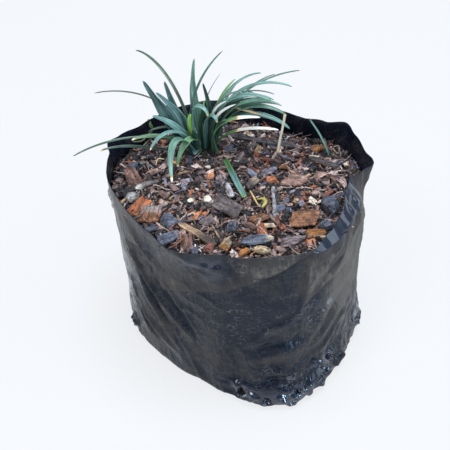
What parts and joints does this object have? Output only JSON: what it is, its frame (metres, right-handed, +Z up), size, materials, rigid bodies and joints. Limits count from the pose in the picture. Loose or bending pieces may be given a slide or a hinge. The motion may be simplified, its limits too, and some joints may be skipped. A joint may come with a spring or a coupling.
{
  "type": "potted kyoto dwarf mondo grass",
  "caption": "Small clump of dark green strap-leaved dwarf mondo grass growing in bark potting mix in a soft black film nursery bag.",
  "frame": {"origin": "middle of the bag's base, on the surface that it stands on", "axes": "+Z up, -Y toward the front of the bag, +X to its right as seen from the front"},
  "size_m": [0.1383, 0.1287, 0.1283],
  "materials": {
    "film": "semi-gloss black film, dusty",
    "mix": "moist composted bark, matt",
    "leaf": "waxy living leaf, satin",
    "rust": "raw bark, matt",
    "ochre": "raw bark, matt",
    "pinkwood": "raw bark, matt",
    "brownwood": "raw bark, matt",
    "tanwood": "bare wood, matt",
    "greywood": "weathered wood, matt",
    "darkwood": "damp bark, matt",
    "slate": "damp charred bark, satin",
    "cream": "bare wood, matt",
    "twig": "weathered twig, matt",
    "perlite": "expanded mineral grain, matt"
  },
  "bodies": {
    "root": {"bag": "film", "potting_mix": "mix", "mondo_clump": "leaf", "leaf_piece_front": "leaf", "leaf_back_right": "leaf", "twig_forked": "twig", "chip_rust_left": "rust", "chip_pink_left": "pinkwood", "chip_slate_left": "slate", "block_pink_front": "pinkwood", "slab_grey_centre": "greywood", "block_tan_centre": "tanwood", "chip_tan_front": "tanwood", "flake_slate_front": "slate", "flake_cream_front": "cream", "chip_orange_mid": "rust", "flake_brown_front": "brownwood", "chip_rust_right": "rust", "chip_ochre_right": "ochre", "flake_pink_right": "pinkwood", "chip_brown_left": "brownwood", "stick_tan_front": "tanwood", "stick_grey_centre": "greywood", "stick_bark_left": "greywood", "stick_dark_back": "darkwood", "stick_dark_right": "darkwood", "lump_slate_right": "slate", "lump_slate_left": "slate", "perlite_centre": "perlite"}
  },
  "joints": []
}
